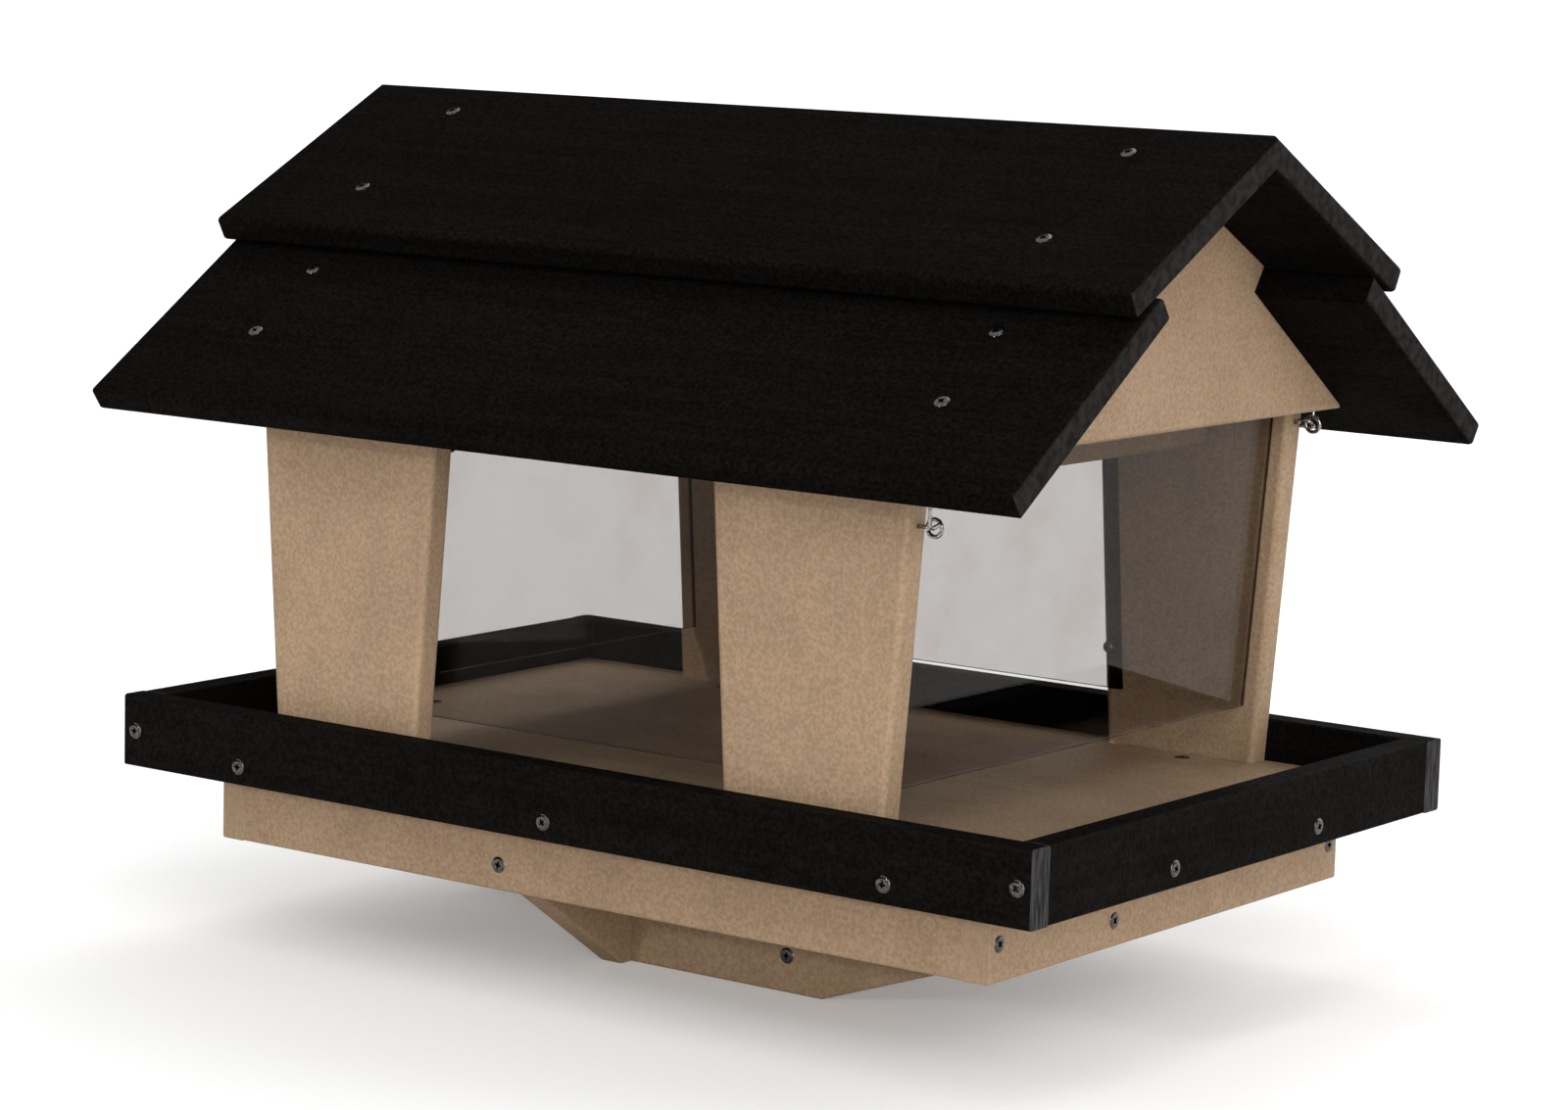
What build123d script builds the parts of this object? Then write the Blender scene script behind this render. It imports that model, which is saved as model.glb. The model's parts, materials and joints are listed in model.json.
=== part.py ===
# Hopper bird feeder in recycled plastic lumber, sized for the top of a 4x4 timber post.
# Millimetres. X runs along the ridge, the front is -Y, Z is up.
# The origin is on the axis of the post socket, level with the lower edges of its boards.
import math
import os

from build123d import *

# Lumber and clear sheet
board = 15.0
ease = 3.2
rim_ease = 1.6
sheet = 3.0

# Tray
tray_length = 560.0
tray_width = 380.0
rim_height = 37.2

# Skirt frame under the tray
skirt_length = 478.0
skirt_width = 318.0
skirt_depth = 37.0

# Socket for the timber post, four boards laid as a pinwheel
timber = 88.9
timber_clearance = 1.0
bracket_depth = 88.9
toe_long = 14.0
toe_short = 7.0

# Corner posts, wider at the top than at the foot
post_centre = 142.0
post_foot_width = 90.0
post_top_width = 117.0

# Rails across the top of the posts, front to back
rail_height = 38.0
rail_top_drop = 1.5

# Clear panes
feed_gap = 30.0
pane_top_drop = 5.0
pane_lap = 11.0
end_pane_inset = 9.0
groove_depth = 5.0
pane_clearance = 0.2

# Roof
overall_height = 437.0
roof_length = 560.0
roof_board_width = 142.0
upper_pitch = 28.1
lower_pitch = 34.5
roof_lap = 22.0
roof_seat_gap = 0.3

# Gables, hung under the roof outside the posts
gable_gap = 2.0
gable_depth = 129.6

# Screw eyes and a latch hook, bent from one size of wire and faceted as small hardware
wire = 2.0
wire_sides = 8
ring_steps = 12
eye_radius = 4.0
eye_neck = 2.5
eye_thread = 9.0
eye_tilt = 35.0
latch_inset = 3.0
latch_reach = 22.5
latch_loop_radius = 3.5
latch_bend = 2.5
latch_tip = 8.0
latch_tip_rise = 1.5
link_gap = 0.3

# Countersunk lumber screws and pan-head pane screws, with flats as small fasteners
screw_sides = 6
screw_radius = 2.0
screw_head_radius = 4.0
screw_head_height = 2.4
screw_length = 36.0
bore_clearance = 0.1
pane_screw_radius = 1.4
pane_screw_head_radius = 3.0
pane_screw_head_height = 1.8
pane_screw_grip = 9.0

# Screw places, each measured from the end or edge named
roof_screw_top = 23.0
roof_screw_low = 103.0
roof_screw_head = 34.8
roof_screw_foot = 27.6
floor_screw_rise = 9.5
floor_screw_reach = 67.0
floor_screw_spread = 200.0
bracket_screw_rise = 19.0
bracket_screw_drop = 22.0
skirt_end_screw_drop = 24.0
post_foot_screw_inset = 22.0
skirt_top_screw_spread = 150.0
skirt_top_screw_reach = 95.0
pane_screw_edge = 22.0

# Levels
floor_under = bracket_depth
floor_top = floor_under + board
rim_top = floor_under + rim_height
skirt_foot = floor_under - skirt_depth

# Plan lines that several boards share
half_socket = timber / 2 + timber_clearance
rim_inside_x = tray_length / 2 - board
rim_inside_y = tray_width / 2 - board
skirt_inside_x = skirt_length / 2 - board
skirt_inside_y = skirt_width / 2 - board
post_inside_y = rim_inside_y - board
post_middle_y = rim_inside_y - board / 2


# Roof section in the YZ plane, for the back half; the front half is its mirror image
def down(pitch):
    angle = math.radians(pitch)
    return Vector(math.cos(angle), -math.sin(angle))


def inward(pitch):
    angle = math.radians(pitch)
    return Vector(-math.sin(angle), -math.cos(angle))


ridge = Vector(0, overall_height)
ridge_under = Vector(0, overall_height - board / math.cos(math.radians(upper_pitch)))
upper_eave = ridge + down(upper_pitch) * roof_board_width
upper_eave_under = upper_eave + inward(upper_pitch) * board
lower_head = upper_eave_under - down(upper_pitch) * roof_lap
lower_head_under = lower_head + inward(lower_pitch) * board
lower_eave = lower_head + down(lower_pitch) * roof_board_width
lower_eave_under = lower_eave + inward(lower_pitch) * board


def soffit(y):
    """Height of the lower roof board's underside at a distance y from the ridge plane."""
    return lower_head_under.Y - (y - lower_head_under.X) * math.tan(math.radians(lower_pitch))


# Posts run from the tray floor to the underside of the roof
seat_drop = roof_seat_gap / math.cos(math.radians(lower_pitch))
post_top_outside = soffit(rim_inside_y) - seat_drop
post_top_inside = soffit(post_inside_y) - seat_drop
rail_top = post_top_inside - rail_top_drop
pane_foot = floor_top + feed_gap
pane_top = post_top_outside - pane_top_drop


# Gables end level, where the slope of the lower roof boards meets their feet
gable_foot = ridge_under.Y - gable_depth
lower_run = (lower_head_under.Y - gable_foot) / math.tan(math.radians(lower_pitch))
lower_slope = lower_run / math.cos(math.radians(lower_pitch))


def post_half_width(z):
    share = (z - floor_top) / (post_top_outside - floor_top)
    return (post_foot_width + (post_top_width - post_foot_width) * share) / 2


def post_outer(z):
    return post_centre + post_half_width(z)


def post_inner(z):
    return post_centre - post_half_width(z)


gable_inside = post_outer(post_top_outside) + gable_gap
gable_middle = gable_inside + board / 2
eye_height = gable_foot - eye_neck - wire / 2 - eye_radius
latch_x = gable_middle - latch_inset
latch_y = -(post_middle_y + 2 * wire)
latch_height = eye_height - latch_reach


def prism(points, plane, depth):
    """A flat outline, drawn on a plane and thickened evenly to both sides."""
    outline = make_face(Polyline(*points, close=True))
    return extrude(plane * outline, depth / 2, both=True)


def eased(edges, radius=ease):
    return fillet(edges, radius)


def box(low, high):
    size = Vector(*high) - Vector(*low)
    middle = (Vector(*high) + Vector(*low)) / 2
    return Pos(middle) * Box(size.X, size.Y, size.Z)


def mirrored(part, x=1, y=1):
    """The same piece on the far side of the middle planes."""
    if x < 0:
        part = mirror(part, Plane.YZ)
    if y < 0:
        part = mirror(part, Plane.XZ)
    return part


# Screws: a place is the middle of the head's face and the direction in which the screw is driven
def along(place):
    point, direction = place
    return Plane(origin=point, z_dir=direction)


def flats(radius, length, taper=0.0):
    """A straight or tapered bar with flat sides that starts at the origin and runs along +Z."""
    return extrude(RegularPolygon(radius, screw_sides), length, taper=taper)


def lumber_screw(place, grow=0.0):
    waist = (screw_head_radius - screw_radius) * math.cos(math.pi / screw_sides)
    slope = math.degrees(math.atan(waist / screw_head_height))
    head = flats(screw_head_radius + grow, screw_head_height, slope)
    shank = flats(screw_radius + grow, screw_length + grow)
    return along(place) * (head + shank)


def pane_screw(place, grow=0.0):
    shank = flats(pane_screw_radius + grow, pane_screw_grip + grow)
    if grow:
        return along(place) * shank
    head = Pos(0, 0, -pane_screw_head_height) * flats(pane_screw_head_radius, pane_screw_head_height)
    return along(place) * (head + shank)


def touches(first, second):
    a = first.bounding_box()
    b = second.bounding_box()
    return (
        a.min.X < b.max.X
        and b.min.X < a.max.X
        and a.min.Y < b.max.Y
        and b.min.Y < a.max.Y
        and a.min.Z < b.max.Z
        and b.min.Z < a.max.Z
    )


def bored(piece, bores):
    near = [bore for bore in bores if touches(piece, bore)]
    return piece - near if near else piece


def both_signs():
    return (-1, 1)


def roof_screw_places():
    places = []
    for pitch, head, offsets in (
        (upper_pitch, ridge, (roof_screw_top, roof_screw_low)),
        (lower_pitch, lower_head, (roof_screw_head, lower_slope - roof_screw_foot)),
    ):
        for offset in offsets:
            spot = head + down(pitch) * offset
            drive = inward(pitch)
            for sx in both_signs():
                for sy in both_signs():
                    point = (sx * gable_middle, sy * spot.X, spot.Y)
                    places.append((point, (0, sy * drive.X, drive.Y)))
    return places


def rim_screw_places():
    places = []
    corner_height = floor_under + rim_height / 2
    edge_height = floor_under + floor_screw_rise
    for sy in both_signs():
        face = sy * tray_width / 2
        for sx in both_signs():
            places.append(((sx * (tray_length / 2 - board / 2), face, corner_height), (0, -sy, 0)))
        for x in (-floor_screw_spread, 0, floor_screw_spread):
            places.append(((x, face, edge_height), (0, -sy, 0)))
    for sx in both_signs():
        face = sx * tray_length / 2
        for sy in both_signs():
            places.append(((face, sy * floor_screw_reach, edge_height), (-sx, 0, 0)))
    return places


def skirt_screw_places():
    places = []
    corner_height = floor_under - skirt_depth / 2
    end_height = floor_under - skirt_end_screw_drop
    for sx in both_signs():
        face = sx * skirt_length / 2
        for sy in both_signs():
            places.append(((face, sy * (skirt_width / 2 - board / 2), corner_height), (-sx, 0, 0)))
        places.append(((face, -sx * (half_socket + board / 2), end_height), (-sx, 0, 0)))
    for sy in both_signs():
        face = sy * skirt_width / 2
        places.append(((sy * (half_socket + board / 2), face, end_height), (0, -sy, 0)))
    return places


def bracket_screw_places():
    places = []
    outside = half_socket + board
    middle = half_socket + board / 2
    for z in (bracket_screw_rise, bracket_depth - bracket_screw_drop):
        for sign in both_signs():
            places.append(((-sign * middle, sign * outside, z), (0, -sign, 0)))
            places.append(((sign * outside, sign * middle, z), (-sign, 0, 0)))
    return places


def post_screw_places():
    places = []
    for sx in both_signs():
        for sy in both_signs():
            for side in both_signs():
                x = sx * (post_centre + side * (post_foot_width / 2 - post_foot_screw_inset))
                places.append(((x, sy * post_middle_y, floor_under), (0, 0, 1)))
    return places


def floor_screw_places():
    places = []
    for sy in both_signs():
        for sx in both_signs():
            point = (sx * skirt_top_screw_spread, sy * (skirt_width / 2 - board / 2), floor_top)
            places.append((point, (0, 0, -1)))
    for sx in both_signs():
        places.append(((sx * (skirt_length / 2 - board / 2), 0, floor_top), (0, 0, -1)))
    return places


def rail_screw_places():
    places = []
    for sx in both_signs():
        for sy in both_signs():
            point = (sx * post_centre, sy * rim_inside_y, rail_top - rail_height / 2)
            places.append((point, (0, -sy, 0)))
    return places


def pane_screw_places():
    places = []
    for z in (pane_foot + pane_screw_edge, pane_top - pane_screw_edge):
        for sx in both_signs():
            for sy in both_signs():
                x = post_inner(z) + pane_lap / 2
                face = post_inside_y - sheet
                places.append(((sx * x, sy * face, z), (0, sy, 0)))
    return places


screw_rows = {
    "roof_screws": roof_screw_places(),
    "rim_screws": rim_screw_places(),
    "skirt_screws": skirt_screw_places(),
    "bracket_screws": bracket_screw_places(),
    "post_foot_screws": post_screw_places(),
    "floor_screws": floor_screw_places(),
    "rail_screws": rail_screw_places(),
}
lumber_bores = [
    lumber_screw(place, bore_clearance) for places in screw_rows.values() for place in places
]
pane_bores = [pane_screw(place, bore_clearance) for place in pane_screw_places()]


# Bent wire: flat sides along a route of straight runs with mitred bends
def bent_wire(route, plane):
    path = plane * Polyline(*route)
    start = Plane(origin=path @ 0, z_dir=path % 0)
    return sweep(start * RegularPolygon(wire / 2, wire_sides), path=path, transition=Transition.RIGHT)


def ring_route(radius, start):
    """Points once round a ring, ending one step short, where the wire's end meets its start."""
    step = 2 * math.pi / ring_steps
    turns = [math.radians(start) - step * number for number in range(ring_steps)]
    return [(radius * math.cos(turn), radius * math.sin(turn)) for turn in turns]


# Screw eyes: a ring on a straight thread, made with its ring at the origin and its thread along +Z
def screw_eye(neck, grow=0.0):
    thread_start = eye_radius + wire / 2 + neck
    if grow:
        bore = extrude(RegularPolygon(wire / 2 + grow, wire_sides), wire + eye_thread + grow)
        return Pos(0, 0, thread_start - wire) * bore
    route = [(0, thread_start + eye_thread)] + ring_route(eye_radius, 90)
    return bent_wire(route, Plane.XZ)


def gable_eye(x, y, grow=0.0):
    return Pos(x, y, eye_height) * screw_eye(eye_neck, grow)


def post_eye(side, x, y, z, tilt, grow=0.0):
    """An eye driven sideways into a post's outer edge; its ring is turned by tilt about its thread."""
    neck = x - eye_radius - wire / 2 - post_outer(z)
    eye = Rot(tilt, 0, 0) * Rot(0, -90, 0) * screw_eye(neck, grow)
    return mirrored(Pos(x, y, z) * eye, x=side)


def hinge_post_eye(side, grow=0.0):
    turned = 90 - eye_tilt
    return post_eye(side, gable_middle - eye_radius, post_middle_y, eye_height, turned, grow)


def latch_post_eye(grow=0.0):
    return post_eye(1, latch_x, -post_middle_y, latch_height, 0, grow)


eye_bores = [gable_eye(latch_x, latch_y, bore_clearance), latch_post_eye(bore_clearance)]
for side in both_signs():
    eye_bores.append(gable_eye(side * gable_middle, post_middle_y, bore_clearance))
    eye_bores.append(hinge_post_eye(side, bore_clearance))


def latch_hook():
    """Wire hook: a loop that hangs in the gable's eye, a straight leg and a bent tip."""
    pivot = eye_height - eye_radius
    loop_height = pivot + wire + link_gap - latch_loop_radius
    tip = [
        (latch_y + latch_bend + latch_tip, latch_height + latch_tip_rise),
        (latch_y + latch_bend, latch_height),
    ]
    leg = [(latch_y, latch_height + latch_bend)]
    loop = [(latch_y + y, loop_height + z) for y, z in ring_route(latch_loop_radius, -90)]
    return bent_wire(tip + leg + loop, Plane.YZ.offset(latch_x))


# Boards
def long_rim(sign):
    low = (-tray_length / 2, rim_inside_y, floor_under)
    high = (tray_length / 2, tray_width / 2, rim_top)
    rail = box(low, high)
    return mirrored(eased(rail.edges().filter_by(Axis.X), rim_ease), y=sign)


def short_rim(sign):
    low = (rim_inside_x, -rim_inside_y, floor_under)
    high = (tray_length / 2, rim_inside_y, rim_top)
    rail = box(low, high)
    return mirrored(eased(rail.edges().filter_by(Axis.Y), rim_ease), x=sign)


def tray_floor():
    return box(
        (-rim_inside_x, -rim_inside_y, floor_under),
        (rim_inside_x, rim_inside_y, floor_top),
    )


def long_skirt(sign):
    low = (-skirt_inside_x, skirt_inside_y, skirt_foot)
    high = (skirt_inside_x, skirt_width / 2, floor_under)
    rail = box(low, high)
    foot = rail.edges().filter_by(Axis.X).group_by(Axis.Z)[0]
    return mirrored(eased(foot, rim_ease), y=sign)


def short_skirt(sign):
    low = (skirt_inside_x, -skirt_width / 2, skirt_foot)
    high = (skirt_length / 2, skirt_width / 2, floor_under)
    rail = box(low, high)
    foot = rail.edges().filter_by(Axis.Y).group_by(Axis.Z)[0]
    return mirrored(eased(foot, rim_ease), x=sign)


def bracket(reach, toe):
    """A socket board: a plain end at -half_socket, and its far end cut away up to the skirt."""
    points = [
        (-half_socket, 0),
        (half_socket + board + toe, 0),
        (reach, skirt_foot),
        (reach, floor_under),
        (-half_socket, floor_under),
    ]
    plate = prism(points, Plane.XZ.offset(half_socket + board / 2), board)
    rims = plate.edges() - plate.edges().filter_by(Axis.Y) - plate.edges().filter_by(Axis.Z)
    low = ShapeList(edge for edge in rims if edge.center().Z < skirt_foot)
    return eased(low, rim_ease)


def bracket_front():
    return bracket(skirt_inside_x, toe_long)


def bracket_right():
    return Rot(0, 0, 90) * bracket(skirt_inside_y, toe_short)


def corner_post(sx, sy):
    points = [
        (post_inner(floor_top), floor_top),
        (post_outer(floor_top), floor_top),
        (post_outer(post_top_inside), post_top_inside),
        (post_inner(post_top_inside), post_top_inside),
    ]
    plate = prism(points, Plane.XZ.offset(-post_middle_y), board)
    sides = plate.edges() - plate.edges().filter_by(Axis.X) - plate.edges().filter_by(Axis.Y)
    plate = eased(sides)
    pitch_cut = [
        (post_inside_y - board, post_top_inside + (post_top_inside - post_top_outside)),
        (rim_inside_y + board, post_top_outside - (post_top_inside - post_top_outside)),
        (rim_inside_y + board, post_top_inside + board),
        (post_inside_y - board, post_top_inside + 2 * board),
    ]
    waste = Pos(post_centre, 0, 0) * prism(pitch_cut, Plane.YZ, 2 * post_top_width)
    groove = end_pane_outline(pane_clearance)
    slot = prism(groove, Plane.XZ, 2 * (post_inside_y + groove_depth))
    return mirrored(plate - waste - slot, x=sx, y=sy)


def end_pane_outline(grow=0.0):
    low = pane_foot - grow
    high = pane_top + grow
    return [
        (post_outer(low) - end_pane_inset - sheet - grow, low),
        (post_outer(low) - end_pane_inset + grow, low),
        (post_outer(high) - end_pane_inset + grow, high),
        (post_outer(high) - end_pane_inset - sheet - grow, high),
    ]


def end_pane(sx):
    width = 2 * (post_inside_y + groove_depth - pane_clearance)
    return mirrored(prism(end_pane_outline(), Plane.XZ, width), x=sx)


def long_pane(sy):
    points = [
        (-post_inner(pane_foot) - pane_lap, pane_foot),
        (post_inner(pane_foot) + pane_lap, pane_foot),
        (post_inner(pane_top) + pane_lap, pane_top),
        (-post_inner(pane_top) - pane_lap, pane_top),
    ]
    return mirrored(prism(points, Plane.XZ.offset(-(post_inside_y - sheet / 2)), sheet), y=sy)


def cross_rail(sx):
    low = (post_centre - board / 2, -post_inside_y, rail_top - rail_height)
    high = (post_centre + board / 2, post_inside_y, rail_top)
    rail = box(low, high)
    return mirrored(eased(rail.edges().filter_by(Axis.Y)), x=sx)


def gable(sx):
    half = [(ridge_under.X, ridge_under.Y), (lower_head.X, lower_head.Y)]
    half += [(lower_head_under.X, lower_head_under.Y), (lower_head_under.X + lower_run, gable_foot)]
    points = half + [(-y, z) for y, z in reversed(half[1:])]
    plate = prism(points, Plane.YZ.offset(gable_middle), board)
    foot = plate.edges().filter_by(Axis.Y).group_by(Axis.Z)[0]
    return mirrored(eased(foot), x=sx)


def roof_board(corners, eased_from, sy):
    """A roof board from its section's corners, eased beyond a distance from the ridge and at its ends."""
    plank = prism([(corner.X, corner.Y) for corner in corners], Plane.YZ, roof_length)
    along_ridge = plank.edges().filter_by(Axis.X)
    eaves = ShapeList(edge for edge in along_ridge if edge.center().Y > eased_from)
    slopes = ShapeList(edge for edge in plank.edges() - along_ridge if edge.length > 2 * board)
    return mirrored(eased(eaves + slopes), y=sy)


def upper_board(sy):
    return roof_board([ridge, upper_eave, upper_eave_under, ridge_under], board, sy)


def lower_board(sy):
    return roof_board([lower_head, lower_eave, lower_eave_under, lower_head_under], 0, sy)


boards = {
    "tray_floor": tray_floor(),
    "rim_front": long_rim(-1),
    "rim_back": long_rim(1),
    "rim_left": short_rim(-1),
    "rim_right": short_rim(1),
    "skirt_front": long_skirt(-1),
    "skirt_back": long_skirt(1),
    "skirt_left": short_skirt(-1),
    "skirt_right": short_skirt(1),
    "bracket_front": bracket_front(),
    "bracket_right": bracket_right(),
    "bracket_back": Rot(0, 0, 180) * bracket_front(),
    "bracket_left": Rot(0, 0, 180) * bracket_right(),
    "post_front_left": corner_post(-1, -1),
    "post_front_right": corner_post(1, -1),
    "post_back_left": corner_post(-1, 1),
    "post_back_right": corner_post(1, 1),
    "rail_left": cross_rail(-1),
    "rail_right": cross_rail(1),
    "gable_left": gable(-1),
    "gable_right": gable(1),
    "roof_upper_front": upper_board(-1),
    "roof_upper_back": upper_board(1),
    "roof_lower_front": lower_board(-1),
    "roof_lower_back": lower_board(1),
}
panes = {
    "pane_front": long_pane(-1),
    "pane_back": long_pane(1),
    "pane_left": end_pane(-1),
    "pane_right": end_pane(1),
}

nodes = {}
for name, piece in boards.items():
    nodes[name] = bored(piece, lumber_bores + pane_bores + eye_bores)
for name, piece in panes.items():
    nodes[name] = bored(piece, pane_bores)
for name, places in screw_rows.items():
    nodes[name] = Compound(children=[lumber_screw(place) for place in places])
nodes["pane_screws"] = Compound(children=[pane_screw(place) for place in pane_screw_places()])
nodes["hinge_eyes_post"] = Compound(children=[hinge_post_eye(side) for side in both_signs()])
nodes["hinge_eyes_gable"] = Compound(
    children=[gable_eye(side * gable_middle, post_middle_y) for side in both_signs()]
)
nodes["latch_eye_post"] = latch_post_eye()
nodes["latch_eye_gable"] = gable_eye(latch_x, latch_y)
nodes["latch_hook"] = latch_hook()

os.makedirs("parts", exist_ok=True)
for name, piece in nodes.items():
    export_step(piece, f"parts/{name}.step")
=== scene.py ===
# Hopper bird feeder: the looks. Metres, X along the ridge, front at -Y, Z up
import json
import math

import bmesh
import bpy
import numpy as np
from mathutils import Matrix, Vector


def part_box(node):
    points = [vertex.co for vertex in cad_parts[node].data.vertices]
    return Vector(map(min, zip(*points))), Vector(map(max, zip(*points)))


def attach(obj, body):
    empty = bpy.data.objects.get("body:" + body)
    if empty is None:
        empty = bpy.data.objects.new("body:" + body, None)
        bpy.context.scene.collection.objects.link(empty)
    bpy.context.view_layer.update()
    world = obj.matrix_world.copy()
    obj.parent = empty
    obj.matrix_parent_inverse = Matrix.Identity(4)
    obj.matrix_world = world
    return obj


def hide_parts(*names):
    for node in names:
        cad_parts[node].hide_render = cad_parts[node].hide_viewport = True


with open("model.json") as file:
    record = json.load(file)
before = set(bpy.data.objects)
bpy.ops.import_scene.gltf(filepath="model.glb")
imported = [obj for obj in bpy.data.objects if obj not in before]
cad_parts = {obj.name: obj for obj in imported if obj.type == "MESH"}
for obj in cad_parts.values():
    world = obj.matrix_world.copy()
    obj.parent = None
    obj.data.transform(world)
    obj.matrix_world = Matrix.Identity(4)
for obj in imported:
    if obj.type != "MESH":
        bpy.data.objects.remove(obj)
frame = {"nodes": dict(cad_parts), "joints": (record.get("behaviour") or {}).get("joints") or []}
nodes = frame["nodes"]
joints = {joint["name"]: joint for joint in frame["joints"]}
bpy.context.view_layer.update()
print("frame loaded:", len(nodes), "nodes")


# Shader helpers
def addNode(tree, kind, place=(0, 0), **settings):
    node = tree.nodes.new(kind)
    node.location = place
    for name, value in settings.items():
        setattr(node, name, value)
    return node


def join(tree, source, target):
    tree.links.new(source, target)


def newGroup(name, inputs, outputs):
    tree = bpy.data.node_groups.new(name, "ShaderNodeTree")
    for label, kind, value in inputs:
        socket = tree.interface.new_socket(name=label, in_out="INPUT", socket_type=kind)
        socket.default_value = value
    for label, kind in outputs:
        tree.interface.new_socket(name=label, in_out="OUTPUT", socket_type=kind)
    start = addNode(tree, "NodeGroupInput", (-1200, 0))
    end = addNode(tree, "NodeGroupOutput", (900, 0))
    return tree, start.outputs, end.inputs


def mathNode(tree, operation, a, b, place=(0, 0)):
    node = addNode(tree, "ShaderNodeMath", place, operation=operation)
    for socket, value in zip(node.inputs, (a, b)):
        if isinstance(value, (int, float)):
            socket.default_value = value
        else:
            join(tree, value, socket)
    return node.outputs[0]


def remap(tree, value, fromLow, fromHigh, toLow, toHigh, place=(0, 0)):
    node = addNode(tree, "ShaderNodeMapRange", place, interpolation_type="SMOOTHSTEP")
    join(tree, value, node.inputs["Value"])
    limits = {"From Min": fromLow, "From Max": fromHigh, "To Min": toLow, "To Max": toHigh}
    for label, number in limits.items():
        node.inputs[label].default_value = number
    return node.outputs["Result"]


def mixColour(tree, share, a, b, blend="MIX", place=(0, 0)):
    node = addNode(tree, "ShaderNodeMix", place, data_type="RGBA", blend_type=blend)
    for socket, value in ((node.inputs[0], share), (node.inputs[6], a), (node.inputs[7], b)):
        if isinstance(value, (int, float, tuple)):
            socket.default_value = value
        else:
            join(tree, value, socket)
    return node.outputs[2]


def noise(tree, vector, scale, detail, roughness, place=(0, 0)):
    node = addNode(tree, "ShaderNodeTexNoise", place)
    join(tree, vector, node.inputs["Vector"])
    node.inputs["Scale"].default_value = scale
    node.inputs["Detail"].default_value = detail
    node.inputs["Roughness"].default_value = roughness
    return node.outputs["Fac"]


# Plastic lumber skin: pebbled surface, faint drag lines along the board, cloudy tone
skinDetail = {
    "pebble": (470, 3, 0.6),  # scale, detail and roughness of each noise
    "cloud": (26, 4, 0.6),
    "drag": (900, 3, 0.6),
    "streak": (140, 4, 0.65),
    "pebbleBand": (0.32, 0.68),  # the part of each noise that is used
    "cloudBand": (0.3, 0.7),
    "dragBand": (0.35, 0.7),
    "streakBand": (0.3, 0.7),
    "polishBand": (0.7, 1.3),
    "cloudSwing": 0.06,
    "streakSwing": 0.5,
}


def makeSkinGroup():
    tree, given, out = newGroup(
        "lumberSkin",
        [
            ("Point", "NodeSocketVector", (0, 0, 0)),
            ("Drawn Point", "NodeSocketVector", (0, 0, 0)),
            ("Tone", "NodeSocketColor", (0.4, 0.3, 0.2, 1)),
            ("Pebble Dark", "NodeSocketColor", (0.3, 0.2, 0.1, 1)),
            ("Pebble Light", "NodeSocketColor", (0.5, 0.4, 0.3, 1)),
            ("Pebble Amount", "NodeSocketFloat", 0.5),
            ("Drag Amount", "NodeSocketFloat", 0.3),
        ],
        [("Color", "NodeSocketColor"), ("Height", "NodeSocketFloat"), ("Polish", "NodeSocketFloat")],
    )
    pebble = noise(tree, given["Point"], *skinDetail["pebble"], (-900, 300))
    cloud = noise(tree, given["Point"], *skinDetail["cloud"], (-900, 60))
    drag = noise(tree, given["Drawn Point"], *skinDetail["drag"], (-900, -180))
    streak = noise(tree, given["Drawn Point"], *skinDetail["streak"], (-900, -420))
    pebbleMask = remap(tree, pebble, *skinDetail["pebbleBand"], 0, 1, (-650, 300))
    dragMask = remap(tree, drag, *skinDetail["dragBand"], 0, 1, (-650, -180))
    pebbleColour = mixColour(tree, pebbleMask, given["Pebble Dark"], given["Pebble Light"], place=(-420, 420))
    toned = mixColour(tree, given["Pebble Amount"], given["Tone"], pebbleColour, place=(-200, 360))
    swing = skinDetail["cloudSwing"]
    cloudy = remap(tree, cloud, *skinDetail["cloudBand"], -swing, swing, (-650, 60))
    swing = skinDetail["streakSwing"]
    streakTone = remap(tree, streak, *skinDetail["streakBand"], -swing, swing, (-650, -420))
    streaky = mathNode(tree, "MULTIPLY", streakTone, given["Drag Amount"], (-420, -420))
    gain = mathNode(tree, "ADD", mathNode(tree, "ADD", cloudy, streaky, (-200, -60)), 1, (0, -60))
    scaled = addNode(tree, "ShaderNodeVectorMath", (200, 200), operation="SCALE")
    join(tree, toned, scaled.inputs[0])
    join(tree, gain, scaled.inputs["Scale"])
    join(tree, scaled.outputs[0], out["Color"])
    dragHeight = mathNode(tree, "MULTIPLY", dragMask, given["Drag Amount"], (-200, -240))
    join(tree, mathNode(tree, "ADD", pebbleMask, dragHeight, (200, -240)), out["Height"])
    uneven = mathNode(tree, "ADD", pebble, cloud, (-420, -600))
    join(tree, remap(tree, uneven, *skinDetail["polishBand"], 0, 1, (0, -600)), out["Polish"])
    return tree


# Sawn board ends: paler, with the blade's fine lines across them
sawnDetail = {"facing": (0.75, 0.97), "line": (110, 3, 0.6), "lineBand": (0.3, 0.7)}


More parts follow.
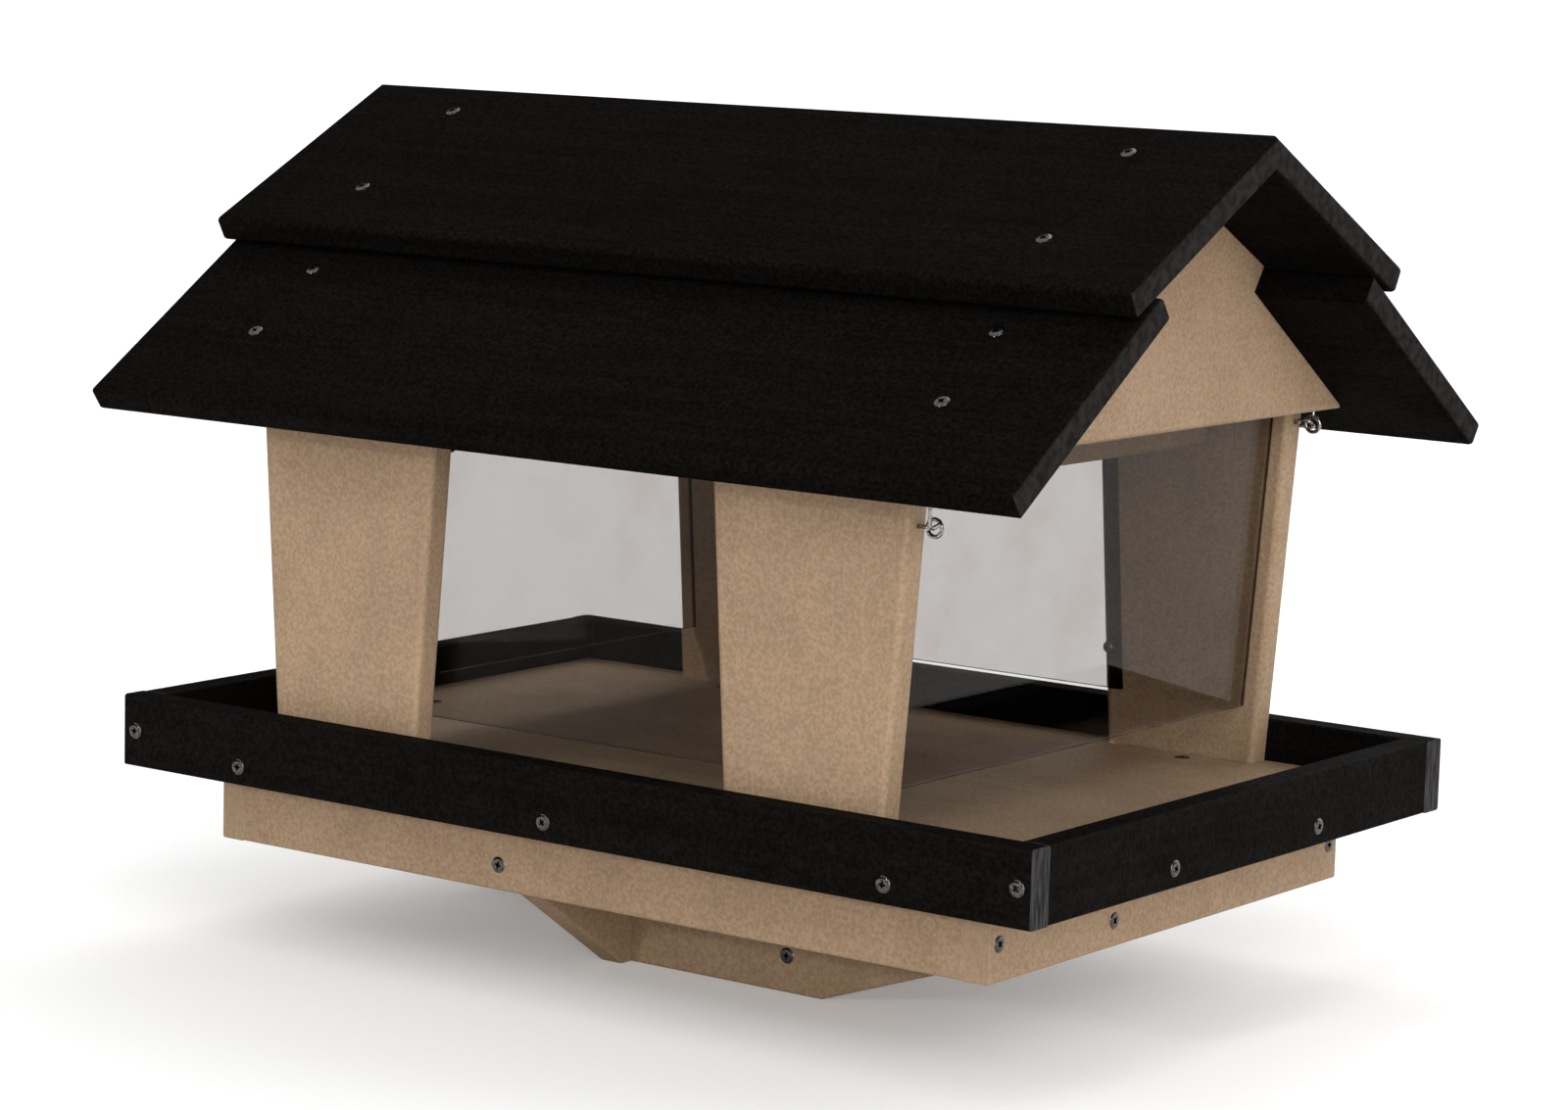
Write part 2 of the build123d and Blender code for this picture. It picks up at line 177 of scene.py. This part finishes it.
def makeSawnGroup():
    tree, given, out = newGroup(
        "sawnEnd",
        [
            ("Point", "NodeSocketVector", (0, 0, 0)),
            ("Facing", "NodeSocketVector", (0, 0, 1)),
            ("Board Axis", "NodeSocketVector", (1, 0, 0)),
            ("Stretch", "NodeSocketVector", (1, 1, 1)),
            ("Cut Dark", "NodeSocketColor", (0.03, 0.03, 0.03, 1)),
            ("Cut Light", "NodeSocketColor", (0.06, 0.06, 0.06, 1)),
        ],
        [("Color", "NodeSocketColor"), ("Mask", "NodeSocketFloat"), ("Height", "NodeSocketFloat")],
    )
    turn = addNode(tree, "ShaderNodeVectorMath", (-900, 0), operation="DOT_PRODUCT")
    join(tree, given["Facing"], turn.inputs[0])
    join(tree, given["Board Axis"], turn.inputs[1])
    ends = mathNode(tree, "ABSOLUTE", turn.outputs["Value"], 0, (-700, 0))
    join(tree, remap(tree, ends, *sawnDetail["facing"], 0, 1, (-500, 0)), out["Mask"])
    squeeze = addNode(tree, "ShaderNodeMapping", (-900, 300))
    join(tree, given["Stretch"], squeeze.inputs["Scale"])
    join(tree, given["Point"], squeeze.inputs["Vector"])
    line = noise(tree, squeeze.outputs[0], *sawnDetail["line"], (-900, 500))
    lines = remap(tree, line, *sawnDetail["lineBand"], 0, 1, (-700, 300))
    join(tree, mixColour(tree, lines, given["Cut Dark"], given["Cut Light"], place=(-300, 300)), out["Color"])
    join(tree, lines, out["Height"])
    return tree


# Rubbed edges with a painted highlight: a paler colour along the arrises, part rub wear and part painted
# highlight, masked by the difference between the true and the softened surface direction
edgeDetail = {
    "turn": (0.995, 0.8),  # how far the two directions agree, from a flat face to a full edge
    "chip": (220, 4, 0.7),
    "chipBand": (0.35, 0.65),
    "chipLeast": 0.25,
    "samples": 4,
}


def makeEdgeGroup():
    tree, given, out = newGroup(
        "rubbedEdgeAndHighlight",
        [("Point", "NodeSocketVector", (0, 0, 0)), ("Soft Normal", "NodeSocketVector", (0, 0, 1))],
        [("Mask", "NodeSocketFloat")],
    )
    geometry = addNode(tree, "ShaderNodeNewGeometry", (-900, 0))
    turn = addNode(tree, "ShaderNodeVectorMath", (-700, 0), operation="DOT_PRODUCT")
    join(tree, geometry.outputs["Normal"], turn.inputs[0])
    join(tree, given["Soft Normal"], turn.inputs[1])
    edge = remap(tree, turn.outputs["Value"], *edgeDetail["turn"], 0, 1, (-500, 0))
    chip = noise(tree, given["Point"], *edgeDetail["chip"], (-700, -250))
    chips = remap(tree, chip, *edgeDetail["chipBand"], edgeDetail["chipLeast"], 1, (-500, -250))
    join(tree, mathNode(tree, "MULTIPLY", edge, chips, (-250, 0)), out["Mask"])
    return tree


skinGroup = makeSkinGroup()
sawnGroup = makeSawnGroup()
edgeGroup = makeEdgeGroup()


def newMaterial(name):
    material = bpy.data.materials.new(name)
    material.use_nodes = True
    tree = material.node_tree
    return material, tree, tree.nodes["Principled BSDF"]


def placeGroup(tree, group, place, **values):
    node = addNode(tree, "ShaderNodeGroup", place, node_tree=group)
    for label, value in values.items():
        socket = node.inputs[label.replace("_", " ")]
        if isinstance(value, (int, float, tuple)):
            socket.default_value = value
        else:
            join(tree, value, socket)
    return node


lumber = {
    "taupe": {
        "tone": (0.325, 0.221, 0.136, 1),
        "pebbleDark": (0.272, 0.183, 0.111, 1),
        "pebbleLight": (0.378, 0.262, 0.164, 1),
        "pebbleAmount": 0.85,
        "drag": 0.04,
        "cutDark": (0.30, 0.205, 0.130, 1),
        "cutLight": (0.40, 0.285, 0.190, 1),
        "cutAmount": 0.45,
        "cutStretch": (6, 6, 0.5),
        # edge: paler colour along the arrises, part rub wear and part painted highlight
        "edge": (0.54, 0.41, 0.29, 1),
        "edgeAmount": 0.7,
        "edgeRound": 0.0014,
        "roughness": (0.50, 0.62),
        "gloss": 0.25,
        "bump": 0.22,
        "bumpHeight": 0.0004,
    },
    "black": {
        "tone": (0.0048, 0.0041, 0.0036, 1),
        "pebbleDark": (0.0025, 0.0021, 0.0018, 1),
        "pebbleLight": (0.0085, 0.0072, 0.0065, 1),
        "pebbleAmount": 0.7,
        "drag": 0.35,
        "cutDark": (0.012, 0.012, 0.012, 1),
        "cutLight": (0.058, 0.056, 0.057, 1),
        "cutAmount": 1.0,
        "cutStretch": (6, 6, 0.5),
        # edge: paler colour along the arrises, part rub wear and part painted highlight
        "edge": (0.030, 0.029, 0.028, 1),
        "edgeAmount": 0.6,
        "edgeRound": 0.0009,
        "roughness": (0.46, 0.60),
        "gloss": 0.01,
        "bump": 0.25,
        "bumpHeight": 0.0004,
    },
}
# The roof's copy of the black lumber: darker tone, pebbles and sawn ends are painted shade that keeps the
# roof darker than the rims; it also has less gloss and its own saw-line stretch
lumber["roofBlack"] = {
    **lumber["black"],
    "tone": (0.0040, 0.0034, 0.0030, 1),
    "pebbleDark": (0.0019, 0.0016, 0.0014, 1),
    "pebbleLight": (0.0076, 0.0064, 0.0058, 1),
    "cutDark": (0.010, 0.009, 0.009, 1),
    "cutLight": (0.024, 0.022, 0.021, 1),
    "cutStretch": (6, 2, 2),
    "gloss": 0.005,
}
boardAxes = {"X": (1, 0, 0), "Y": (0, 1, 0), "Z": (0, 0, 1)}
drawnScale = {"X": (0.03, 1, 1), "Y": (1, 0.03, 1), "Z": (1, 1, 0.03)}  # drag lines run along the board


def lumberMaterial(colour, axis):
    look = lumber[colour]
    material, tree, shader = newMaterial(f"{colour}Lumber{axis}")
    coordinates = addNode(tree, "ShaderNodeTexCoord", (-1500, 200))
    drawn = addNode(tree, "ShaderNodeMapping", (-1300, -100))
    drawn.inputs["Scale"].default_value = drawnScale[axis]
    join(tree, coordinates.outputs["Object"], drawn.inputs["Vector"])
    point = coordinates.outputs["Object"]
    skin = placeGroup(
        tree, skinGroup, (-1050, 200), Point=point, Drawn_Point=drawn.outputs[0], Tone=look["tone"],
        Pebble_Dark=look["pebbleDark"], Pebble_Light=look["pebbleLight"],
        Pebble_Amount=look["pebbleAmount"], Drag_Amount=look["drag"],
    )
    sawn = placeGroup(
        tree, sawnGroup, (-1050, -200), Point=point, Facing=coordinates.outputs["Normal"],
        Board_Axis=boardAxes[axis], Stretch=look["cutStretch"],
        Cut_Dark=look["cutDark"], Cut_Light=look["cutLight"],
    )
    soften = addNode(tree, "ShaderNodeBevel", (-1050, -500), samples=edgeDetail["samples"])
    soften.inputs["Radius"].default_value = look["edgeRound"]
    edge = placeGroup(tree, edgeGroup, (-800, -500), Point=point, Soft_Normal=soften.outputs[0])
    cut = mathNode(tree, "MULTIPLY", sawn.outputs["Mask"], look["cutAmount"], (-850, 60))
    faces = mixColour(tree, cut, skin.outputs["Color"], sawn.outputs["Color"], place=(-700, 200))
    # Painted highlight and rub wear: the paler edge colour is mixed in along the rounded arrises
    rubAndHighlight = mathNode(tree, "MULTIPLY", edge.outputs["Mask"], look["edgeAmount"], (-600, -400))
    join(tree, mixColour(tree, rubAndHighlight, faces, look["edge"], place=(-450, 200)), shader.inputs["Base Color"])
    shader.inputs["Specular IOR Level"].default_value = look["gloss"]
    smooth, rough = look["roughness"]
    polished = remap(tree, skin.outputs["Polish"], 0, 1, rough, smooth, (-450, 0))
    join(tree, polished, shader.inputs["Roughness"])
    bump = addNode(tree, "ShaderNodeBump", (-250, -300))
    bump.inputs["Strength"].default_value = look["bump"]
    bump.inputs["Distance"].default_value = look["bumpHeight"]
    height = mathNode(tree, "ADD", skin.outputs["Height"], sawn.outputs["Height"], (-450, -300))
    join(tree, height, bump.inputs["Height"])
    join(tree, soften.outputs[0], bump.inputs["Normal"])
    join(tree, bump.outputs[0], shader.inputs["Normal"])
    return material


clearSheet = {
    "tint": (0.650, 0.638, 0.630, 1),
    "smudge": (0.60, 0.545, 0.525, 1),
    "smudgeAmount": 0.75,
    "smear": (14, 5, 0.7),
    "smearBand": (0.48, 0.75),
    "hazeBand": (0.4, 0.8),
    "haze": (0.0, 0.02),
    "bend": 1.2,
    "mirror": (0.36, 0.35, 0.34, 1),
}


def sheetMaterial():
    material, tree, shader = newMaterial("clearSheet")
    coordinates = addNode(tree, "ShaderNodeTexCoord", (-1300, 0))
    smear = noise(tree, coordinates.outputs["Object"], *clearSheet["smear"], (-1000, 0))
    smearMask = remap(tree, smear, *clearSheet["smearBand"], 0, 1, (-800, 0))
    shown = mathNode(tree, "MULTIPLY", smearMask, clearSheet["smudgeAmount"], (-600, 0))
    colour = mixColour(tree, shown, clearSheet["tint"], clearSheet["smudge"], place=(-400, 200))
    join(tree, colour, shader.inputs["Base Color"])
    haze = remap(tree, smear, *clearSheet["hazeBand"], *clearSheet["haze"], (-400, -100))
    join(tree, haze, shader.inputs["Roughness"])
    shader.inputs["Transmission Weight"].default_value = 1
    shader.inputs["IOR"].default_value = clearSheet["bend"]
    shader.inputs["Specular Tint"].default_value = clearSheet["mirror"]
    return material


tarnishDetail = {"blotch": (900, 4, 0.6), "colourBand": (0.35, 0.7), "roughBand": (0.3, 0.7)}
metal = {
    "screwSteel": {"tone": (0.15, 0.143, 0.138, 1), "tarnish": 0.35, "roughness": (0.10, 0.30)},
    "brightWire": {"tone": (0.46, 0.46, 0.47, 1), "tarnish": 0.2, "roughness": (0.04, 0.14)},
}


def metalMaterial(name):
    look = metal[name]
    material, tree, shader = newMaterial(name)
    coordinates = addNode(tree, "ShaderNodeTexCoord", (-1300, 0))
    blotch = noise(tree, coordinates.outputs["Object"], *tarnishDetail["blotch"], (-1000, 0))
    dull = tuple(look["tarnish"] * part for part in look["tone"][:3]) + (1,)
    mask = remap(tree, blotch, *tarnishDetail["colourBand"], 0, 1, (-800, 0))
    join(tree, mixColour(tree, mask, look["tone"], dull, place=(-500, 200)), shader.inputs["Base Color"])
    worn = remap(tree, blotch, *tarnishDetail["roughBand"], *look["roughness"], (-500, -100))
    join(tree, worn, shader.inputs["Roughness"])
    shader.inputs["Metallic"].default_value = 1
    return material


sheetLook = sheetMaterial()
steelLook = metalMaterial("screwSteel")
wireLook = metalMaterial("brightWire")
print("materials made:", len(bpy.data.materials))

# Which way each board runs
boardRuns = {
    ("roofBlack", "X"): ["roof_upper_front", "roof_upper_back", "roof_lower_front", "roof_lower_back"],
    ("black", "X"): ["rim_front", "rim_back"],
    ("black", "Y"): ["rim_left", "rim_right"],
    ("taupe", "X"): ["tray_floor", "skirt_front", "skirt_back", "bracket_front", "bracket_back"],
    ("taupe", "Y"): [
        "skirt_left", "skirt_right", "bracket_left", "bracket_right",
        "rail_left", "rail_right", "gable_left", "gable_right",
    ],
    ("taupe", "Z"): ["post_front_left", "post_front_right", "post_back_left", "post_back_right"],
}


def dress(name, material):
    data = nodes[name].data
    data.materials.clear()
    data.materials.append(material)


for (colour, axis), names in boardRuns.items():
    material = lumberMaterial(colour, axis)
    for name in names:
        dress(name, material)
for name in ("pane_front", "pane_back", "pane_left", "pane_right"):
    dress(name, sheetLook)


# Small hardware, placed from the frame's own solids
weldDistance = 1e-6
crispAngle = 38  # degrees, past which an edge isn't smoothed


# The points of each separate solid of a node
def looseSolids(name):
    bm = bmesh.new()
    bm.from_mesh(nodes[name].data)
    bmesh.ops.remove_doubles(bm, verts=bm.verts, dist=weldDistance)
    seen = set()
    solids = []
    for first in bm.verts:
        if first in seen:
            continue
        pile = [first]
        seen.add(first)
        solid = []
        while pile:
            vert = pile.pop()
            solid.append(vert.co.copy())
            for edge in vert.link_edges:
                other = edge.other_vert(vert)
                if other not in seen:
                    seen.add(other)
                    pile.append(other)
        solids.append(solid)
    bm.free()
    return solids


def spreadOf(points):
    low = Vector([min(point[i] for point in points) for i in range(3)])
    high = Vector([max(point[i] for point in points) for i in range(3)])
    return low, high


# A screw's head centre and driving direction: the head is the end with the widest ring
headShare = 0.99


def screwPlace(points):
    cloud = np.array(points)
    middle = cloud.mean(axis=0)
    axis = np.linalg.svd(cloud - middle)[2][0]
    along = (cloud - middle) @ axis
    reach = np.linalg.norm(cloud - middle - np.outer(along, axis), axis=1)
    if along[reach > headShare * reach.max()].mean() > 0:
        axis, along = -axis, -along
    return Vector(middle + axis * along.min()), Vector(axis)


def ringEdges(geometry):
    return [item for item in geometry if isinstance(item, bmesh.types.BMEdge)]


def ringVerts(geometry):
    return [item for item in geometry if isinstance(item, bmesh.types.BMVert)]


# One more ring of a turned shape about the Z axis
def turnTo(bm, edges, radius, height):
    grown = bmesh.ops.extrude_edge_only(bm, edges=edges)["geom"]
    verts = ringVerts(grown)
    old = verts[0].co.xy.length
    bmesh.ops.scale(bm, vec=(radius / old, radius / old, 1), verts=verts)
    bmesh.ops.translate(bm, vec=(0, 0, height - verts[0].co.z), verts=verts)
    return ringEdges(grown)


# Radius and height pairs run from the head down to the tip
headTurn = 47  # degrees from one screw's drive to the next
screwShapes = {
    "countersunk": {
        "sides": 24,
        "flat": (0.0027, -0.00055),
        "outline": [
            (0.0034, -0.00042), (0.0040, -0.00018), (0.0042, 0.0001), (0.0019, 0.0026), (0.0019, 0.0080),
        ],
        "thread": {"start": 0.0085, "end": 0.0330, "pitch": 0.0024, "root": 0.0015, "crest": 0.0022},
        "tip": (0.0002, 0.0360),
        "recess": {"radius": 0.0020, "lobes": 4, "lobe": 0.5, "depth": 0.0019, "taper": 0.85},
    },
    "pan": {
        "sides": 24,
        "flat": (0.0014, -0.0018),
        "outline": [
            (0.0023, -0.0015), (0.0029, -0.0008), (0.0030, -0.0002), (0.0029, 0), (0.0013, 0.0001),
            (0.0013, 0.0020),
        ],
        "thread": {"start": 0.0022, "end": 0.0080, "pitch": 0.0014, "root": 0.0010, "crest": 0.0014},
        "tip": (0.0002, 0.0090),
        "recess": {"radius": 0.0012, "lobes": 4, "lobe": 0.14, "depth": 0.0009, "taper": 0.85},
    },
}


def makeScrew(bm, shape):
    radius, height = shape["flat"]
    turn = Matrix.Translation((0, 0, height))
    made = bmesh.ops.create_circle(bm, cap_ends=True, segments=shape["sides"], radius=radius, matrix=turn)
    face = made["verts"][0].link_faces[0]
    edges = list(face.edges)
    for nextRadius, nextHeight in shape["outline"]:
        edges = turnTo(bm, edges, nextRadius, nextHeight)
    thread = shape["thread"]
    depth = thread["start"]
    while depth < thread["end"]:  # a crest, then a root from one third to two thirds of the pitch
        edges = turnTo(bm, edges, thread["crest"], depth)
        edges = turnTo(bm, edges, thread["root"], depth + thread["pitch"] / 3)
        edges = turnTo(bm, edges, thread["root"], depth + thread["pitch"] * 2 / 3)
        depth += thread["pitch"]
    edges = turnTo(bm, edges, *shape["tip"])
    bmesh.ops.contextual_create(bm, geom=edges)
    recess = shape["recess"]
    bmesh.ops.inset_region(bm, faces=[face], thickness=radius - recess["radius"], use_even_offset=True)
    for vert in face.verts:
        angle = math.atan2(vert.co.y, vert.co.x)
        pinch = 1 - recess["lobe"] * (1 - math.cos(recess["lobes"] * angle)) / 2
        vert.co.xy = vert.co.xy * pinch
    sunk = bmesh.ops.extrude_discrete_faces(bm, faces=[face])["faces"][0]
    bmesh.ops.translate(bm, vec=(0, 0, recess["depth"]), verts=sunk.verts)
    bmesh.ops.scale(bm, vec=(recess["taper"], recess["taper"], 1), verts=sunk.verts)


def placeScrews(name, shape, body):
    template = bmesh.new()
    makeScrew(template, screwShapes[shape])
    bmesh.ops.recalc_face_normals(template, faces=template.faces)
    pattern = bpy.data.meshes.new("screwPattern")
    template.to_mesh(pattern)
    template.free()
    bm = bmesh.new()
    for number, solid in enumerate(looseSolids(name)):
        head, drive = screwPlace(solid)
        first = len(bm.verts)
        bm.from_mesh(pattern)
        bm.verts.ensure_lookup_table()
        fresh = bm.verts[first:]
        spin = Matrix.Rotation(math.radians(headTurn * number), 4, "Z")
        place = Matrix.Translation(head) @ drive.to_track_quat("Z", "Y").to_matrix().to_4x4() @ spin
        bmesh.ops.transform(bm, matrix=place, verts=fresh)
    bpy.data.meshes.remove(pattern)
    return finishPiece(f"{name}_driven", bm, steelLook, body, [name])


# Bent wire
wireShape = {
    "radius": 0.001,
    "sides": 16,
    "ringSteps": 40,
    "bendSteps": 8,
    "threadPitch": 0.0013,
    "threadDepth": 0.00028,
}


# The cut end of a wire, closed by one face
def wireEnd(bm, start, heading):
    turn = Matrix.Translation(start) @ heading.to_track_quat("Z", "Y").to_matrix().to_4x4()
    made = bmesh.ops.create_circle(
        bm, cap_ends=True, segments=wireShape["sides"], radius=wireShape["radius"], matrix=turn
    )
    verts = made["verts"]
    return verts, list(verts[0].link_faces[0].edges)


# Carries a wire's end round a centre and closes the other end
def wireSweep(bm, end, middle, axis, degrees, steps):
    verts, edges = end
    spun = bmesh.ops.spin(
        bm, geom=verts + edges, cent=middle, axis=axis, dvec=(0, 0, 0), angle=math.radians(degrees),
        steps=steps, use_merge=False, use_duplicate=False,
    )
    bmesh.ops.contextual_create(bm, geom=ringEdges(spun["geom_last"]))


def wireRing(bm, middle, ringRadius, outward, across, gap):
    end = wireEnd(bm, middle + outward * ringRadius, across.cross(outward))
    wireSweep(bm, end, middle, across, 360 - gap, wireShape["ringSteps"])


def wireBend(bm, start, heading, towards, bendRadius, degrees):
    end = wireEnd(bm, start, heading)
    axis = heading.cross(towards)
    wireSweep(bm, end, start + towards * bendRadius, axis, degrees, wireShape["bendSteps"])


# A straight wire, with a rolled thread along its last part
def wireRun(bm, start, heading, length, thread=0.0):
    edges = wireEnd(bm, start, heading)[1]
    edges = carryOn(bm, edges, heading, length - thread)
    reach = 0
    while reach < thread:
        for squeeze in (1 - wireShape["threadDepth"] / wireShape["radius"], 1):
            step = wireShape["threadPitch"] / 2
            edges = carryOn(bm, edges, heading, step, squeeze)
            reach += step
    bmesh.ops.contextual_create(bm, geom=edges)


def carryOn(bm, edges, heading, length, thickness=None):
    grown = bmesh.ops.extrude_edge_only(bm, edges=edges)["geom"]
    verts = ringVerts(grown)
    bmesh.ops.translate(bm, vec=heading * length, verts=verts)
    if thickness is not None:
        middle = sum((vert.co for vert in verts), Vector()) / len(verts)
        for vert in verts:
            vert.co = middle + (vert.co - middle).normalized() * wireShape["radius"] * thickness
    return ringEdges(grown)


eyeSize = {"ring": 0.004, "thread": 0.009, "gap": 22}  # the gap is the ring's opening in degrees


# Screw eyes where the plain ones stand: shank up into a gable, or sideways into a post
def makeEyes(name, body, shank):
    outer = eyeSize["ring"] + wireShape["radius"]
    bm = bmesh.new()
    for solid in looseSolids(name):
        low, high = spreadOf(solid)
        middle = (low + high) / 2
        if shank == "up":
            middle.z = low.z + outer
            heading = Vector((0, 0, 1))
            across = Vector((0, 1, 0))
            length = high.z - middle.z - eyeSize["ring"]
        else:
            side = math.copysign(1, middle.x)
            heading = Vector((-side, 0, 0))
            outside = high.x if side > 0 else low.x
            inside = low.x if side > 0 else high.x
            middle.x = outside - side * outer
            length = abs(inside - middle.x) - eyeSize["ring"]
            rise = (high.z - low.z) / 2 - wireShape["radius"]
            tilt = math.asin(min(1, rise / eyeSize["ring"]))
            across = Vector((0, math.sin(tilt), math.cos(tilt)))
        wireRing(bm, middle, eyeSize["ring"], heading, across, eyeSize["gap"])
        wireRun(bm, middle + heading * eyeSize["ring"], heading, length, eyeSize["thread"])
    return finishPiece(f"{name}_bent", bm, wireLook, body, [name])


hookSize = {"loop": 0.0035, "bend": 0.0025, "bendTurn": 90, "tipRise": 0.0015, "gap": 20}


# The latch hook: a loop that hangs in the gable's eye, a leg, a bend and a tip in the post's eye
def makeHook():
    name = "latch_hook"
    pivot = Vector(joints["latch"]["pos_m"])
    low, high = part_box(name)
    wire = wireShape["radius"]
    loopMiddle = Vector((pivot.x, pivot.y, high.z - wire - hookSize["loop"]))
    bottom = low.z + wire
    upwards = Vector((0, 0, 1))
    inwards = Vector((0, 1, 0))
    bm = bmesh.new()
    wireRing(bm, loopMiddle, hookSize["loop"], -upwards, Vector((1, 0, 0)), hookSize["gap"])
    legTop = loopMiddle - upwards * hookSize["loop"]
    legLength = legTop.z - bottom - hookSize["bend"]
    wireRun(bm, legTop, -upwards, legLength)
    bendStart = legTop - upwards * legLength
    tipReach = high.y - wire - pivot.y - hookSize["bend"]
    wireBend(bm, bendStart, -upwards, inwards, hookSize["bend"], hookSize["bendTurn"])
    tipStart = bendStart + inwards * hookSize["bend"] - upwards * hookSize["bend"]
    tipHeading = (inwards * tipReach + upwards * hookSize["tipRise"]).normalized()
    wireRun(bm, tipStart, tipHeading, tipReach)
    return finishPiece(f"{name}_bent", bm, wireLook, name, [name])


def finishPiece(name, bm, material, body, replaced):
    bmesh.ops.recalc_face_normals(bm, faces=bm.faces)
    data = bpy.data.meshes.new(name)
    bm.to_mesh(data)
    bm.free()
    data.materials.append(material)
    data.shade_smooth()
    piece = bpy.data.objects.new(name, data)
    bpy.context.scene.collection.objects.link(piece)
    crisp = piece.modifiers.new("crispEdges", "EDGE_SPLIT")
    crisp.split_angle = math.radians(crispAngle)
    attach(piece, body)
    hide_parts(*replaced)
    return piece


for group in ("rim", "skirt", "bracket", "post_foot", "floor", "rail"):
    placeScrews(f"{group}_screws", "countersunk", "base")
placeScrews("roof_screws", "countersunk", "roof")
placeScrews("pane_screws", "pan", "base")
makeEyes("hinge_eyes_gable", "roof", "up")
makeEyes("latch_eye_gable", "roof", "up")
makeEyes("hinge_eyes_post", "base", "sideways")
makeEyes("latch_eye_post", "base", "sideways")
makeHook()
print("hardware made")


# Which way a camera or a light stands from the feeder, by its angles in radians
def directionOf(azimuth, elevation):
    flat = math.cos(elevation)
    return Vector((math.sin(azimuth) * flat, -math.cos(azimuth) * flat, math.sin(elevation)))


# Camera where the photograph was taken from
viewpoint = {
    "azimuth": 36.26,  # degrees from the front, round to the right
    "elevation": 8.12,
    "roll": 1.56,
    "distance": 2.2781,
    "sideways": 0.0001,
    "upwards": 0.1194,
    "datum": 0.0889,  # height that the shifts are counted from: the top of the socket boards
    "focal": 4516.1,  # in pixels of the photograph
    "photoWidth": 1600,
    "sensor": 36,
    "farthest": 200,
}


def makeCamera():
    azimuth, elevation, roll = (math.radians(viewpoint[key]) for key in ("azimuth", "elevation", "roll"))
    back = directionOf(azimuth, elevation)
    right = Vector((math.cos(azimuth), math.sin(azimuth), 0))
    up = back.cross(right)
    target = right * viewpoint["sideways"] + up * viewpoint["upwards"] + Vector((0, 0, viewpoint["datum"]))
    data = bpy.data.cameras.new("photoCamera")
    data.sensor_width = viewpoint["sensor"]
    data.lens = viewpoint["focal"] / viewpoint["photoWidth"] * viewpoint["sensor"]
    data.clip_end = viewpoint["farthest"]
    camera = bpy.data.objects.new("photoCamera", data)
    bpy.context.scene.collection.objects.link(camera)
    rolledRight = right * math.cos(roll) + up * math.sin(roll)
    rolledUp = up * math.cos(roll) - right * math.sin(roll)
    turn = Matrix((rolledRight, rolledUp, back)).transposed().to_4x4()
    camera.matrix_world = Matrix.Translation(target + back * viewpoint["distance"]) @ turn
    bpy.context.scene.camera = camera


makeCamera()

# Studio: pale floor, broad lights beside the camera, above and behind, and a small one for sparkle
studio = {
    "floorRadius": 60,
    "floorSides": 64,
    "floorRoughness": 0.9,
    "floorGloss": 0.1,
    "floorTone": (0.88, 0.88, 0.88, 1),
    "floorBounce": (0.86, 0.83, 0.80, 1),
    "floorGlow": 0.22,
    "ambient": 0.16,  # strength of the sky as a light
    "mirrored": 0.03,  # in reflections
    "backdrop": 1.0,  # as a background
}
broadLights = {
    "frontLight": {"azimuth": 54, "elevation": 17, "softness": 60, "power": 2.95},
    "topLight": {"azimuth": -60, "elevation": 70, "softness": 80, "power": 1.1},
    "backLight": {"azimuth": 168, "elevation": 36, "softness": 80, "power": 1.9},
    "sparkLight": {"azimuth": -9, "elevation": 18, "softness": 4, "power": 0.5},
}


# 1 where the eye sees a surface directly or through clear sheet, 0 where it only lights something
def seenDirectly(tree):
    path = addNode(tree, "ShaderNodeLightPath", (-900, 0))
    bounces = mathNode(tree, "ADD", path.outputs["Diffuse Depth"], path.outputs["Glossy Depth"], (-700, 0))
    return mathNode(tree, "LESS_THAN", bounces, 0.5, (-500, 0))


def makeStudio():
    bm = bmesh.new()
    bmesh.ops.create_circle(bm, cap_ends=True, radius=studio["floorRadius"], segments=studio["floorSides"])
    data = bpy.data.meshes.new("floor")
    bm.to_mesh(data)
    bm.free()
    material, tree, shader = newMaterial("paleFloor")
    seen = seenDirectly(tree)
    tone = mixColour(tree, seen, studio["floorBounce"], studio["floorTone"], place=(-300, 0))
    join(tree, tone, shader.inputs["Base Color"])
    shader.inputs["Roughness"].default_value = studio["floorRoughness"]
    shader.inputs["Specular IOR Level"].default_value = studio["floorGloss"]
    shader.inputs["Emission Color"].default_value = studio["floorTone"]
    glow = mathNode(tree, "MULTIPLY", seen, studio["floorGlow"], (-300, -200))
    join(tree, glow, shader.inputs["Emission Strength"])
    data.materials.append(material)
    floor = bpy.data.objects.new("floor", data)
    bpy.context.scene.collection.objects.link(floor)
    world = bpy.data.worlds.new("studioSky")
    bpy.context.scene.world = world
    world.use_nodes = True
    sky = world.node_tree
    path = addNode(sky, "ShaderNodeLightPath", (-900, -300))
    depth = path.outputs["Diffuse Depth"]
    bounced = remap(sky, depth, 0, 1, studio["mirrored"], studio["ambient"], (-500, -300))
    extra = studio["backdrop"] - studio["mirrored"]
    shown = mathNode(sky, "MULTIPLY", seenDirectly(sky), extra, (-300, 0))
    strength = mathNode(sky, "ADD", bounced, shown, (-150, 0))
    sky.nodes["Background"].inputs["Color"].default_value = (1, 1, 1, 1)
    join(sky, strength, sky.nodes["Background"].inputs["Strength"])
    for name, light in broadLights.items():
        lamp = bpy.data.lights.new(name, "SUN")
        lamp.energy = light["power"]
        lamp.angle = math.radians(light["softness"])
        holder = bpy.data.objects.new(name, lamp)
        towards = directionOf(math.radians(light["azimuth"]), math.radians(light["elevation"]))
        holder.rotation_euler = towards.to_track_quat("Z", "Y").to_euler()
        bpy.context.scene.collection.objects.link(holder)


makeStudio()
bpy.context.scene.view_settings.view_transform = "Standard"
print("studio ready")
